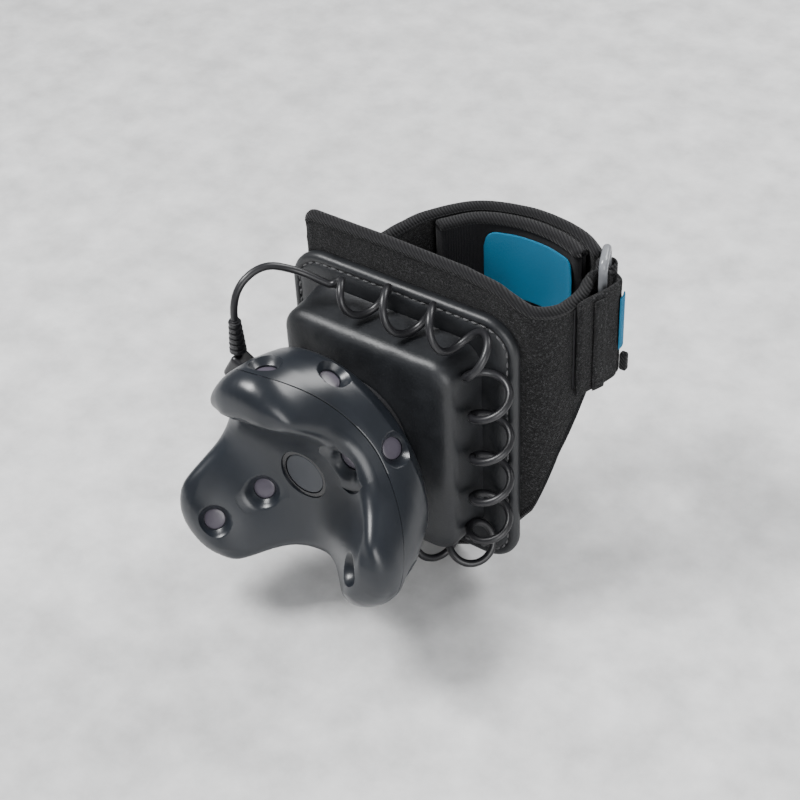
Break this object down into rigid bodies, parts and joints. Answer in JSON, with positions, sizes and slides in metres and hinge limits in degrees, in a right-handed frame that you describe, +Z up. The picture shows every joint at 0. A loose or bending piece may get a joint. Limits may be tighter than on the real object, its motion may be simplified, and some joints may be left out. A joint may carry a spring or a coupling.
{
  "type": "body tracker on limb strap",
  "caption": "Three-lobed body tracking puck screwed to a leather battery pad on a hook-and-loop limb strap, with a coiled charging cord.",
  "frame": {"origin": "on the axis of a worn limb, inside the band and level with its middle", "axes": "+X to the right of the pad, +Y from the puck towards the limb, +Z up along the limb"},
  "size_m": [0.1168, 0.1245, 0.1254],
  "materials": {
    "puck_plastic": "satin black with a blue-grey sheen",
    "sensor_window": "infrared-clear dark plastic",
    "circuit_board": "solder mask",
    "cell_wrap": "foil pouch",
    "gold_plate": "flash gold",
    "brass_insert": "machined",
    "steel_fastener": "zinc plated",
    "bezel_plastic": "polished black",
    "button_plastic": "fine satin",
    "light_pipe": "clear",
    "cord_rubber": "satin black",
    "grip_rubber": "matte",
    "mount_plastic": "moulded",
    "pad_leather": "embossed faux leather",
    "liner_foam": "foam",
    "loop_fabric": "brushed loop pile",
    "liner_fabric": "smooth jersey over foam",
    "binding_knit": "ribbed knit",
    "blue_print": "plain bright blue, no text",
    "hook_plastic": "hook tape",
    "buckle_plastic": "grey translucent"
  },
  "bodies": {
    "harness": {"antenna": "gold_plate", "battery_cell": "cell_wrap", "blank_tag": "blue_print", "board_connector": "mount_plastic", "buckle_loop": "binding_knit", "button_bezel": "bezel_plastic", "button_switch": "steel_fastener", "charge_board": "circuit_board", "cord_coil": "cord_rubber", "cord_grommet": "grip_rubber", "cord_lead": "cord_rubber", "cord_return": "cord_rubber", "foam_sheet": "liner_foam", "front_cover": "puck_plastic", "front_panel": "loop_fabric", "grip_patch": "blue_print", "grip_ring": "grip_rubber", "inner_liner": "liner_fabric", "left_band": "loop_fabric", "liner_binding": "binding_knit", "locator_pin": "steel_fastener", "main_board": "circuit_board", "mount_plate": "mount_plastic", "mount_screws": "steel_fastener", "mount_stud": "steel_fastener", "pad_backing": "pad_leather", "panel_binding": "binding_knit", "plug_tip": "steel_fastener", "pouch_cover": "pad_leather", "puck_battery": "cell_wrap", "pull_tab": "binding_knit", "rear_band": "loop_fabric", "rear_shell": "puck_plastic", "sensor_boards": "circuit_board", "sensor_windows_front": "sensor_window", "sensor_windows_rear": "sensor_window", "shell_screws": "steel_fastener", "side_wing": "loop_fabric", "status_light_pipe": "light_pipe", "stiffener_plate": "mount_plastic", "strain_relief": "cord_rubber", "tail_root": "loop_fabric", "threaded_insert": "brass_insert", "usb_plug": "cord_rubber", "usb_socket": "steel_fastener", "wing_fold": "loop_fabric"},
    "power_button": {"power_button": "button_plastic"},
    "buckle": {"buckle_frame": "buckle_plastic"},
    "tail": {"strap_tail": "loop_fabric", "hook_patch": "hook_plastic", "tail_end_layer": "loop_fabric"}
  },
  "joints": [
    {"name": "power_button_press", "type": "slide", "parent": "harness", "child": "power_button", "axis": [0, 1, 0], "range_m": [0, 0.00045], "stiffness_N_per_m": 2500, "springref_m": -0.0002},
    {"name": "buckle_rock", "type": "hinge", "parent": "harness", "child": "buckle", "pos_m": [0.02591, 0.00463, 0], "axis": [0, 0, 1], "range_deg": [-8, 8]},
    {"name": "tail_peel", "type": "hinge", "parent": "harness", "child": "tail", "pos_m": [0.0343, -0.0093, 0], "axis": [0, 0, 1], "range_deg": [0, 60]}
  ]
}
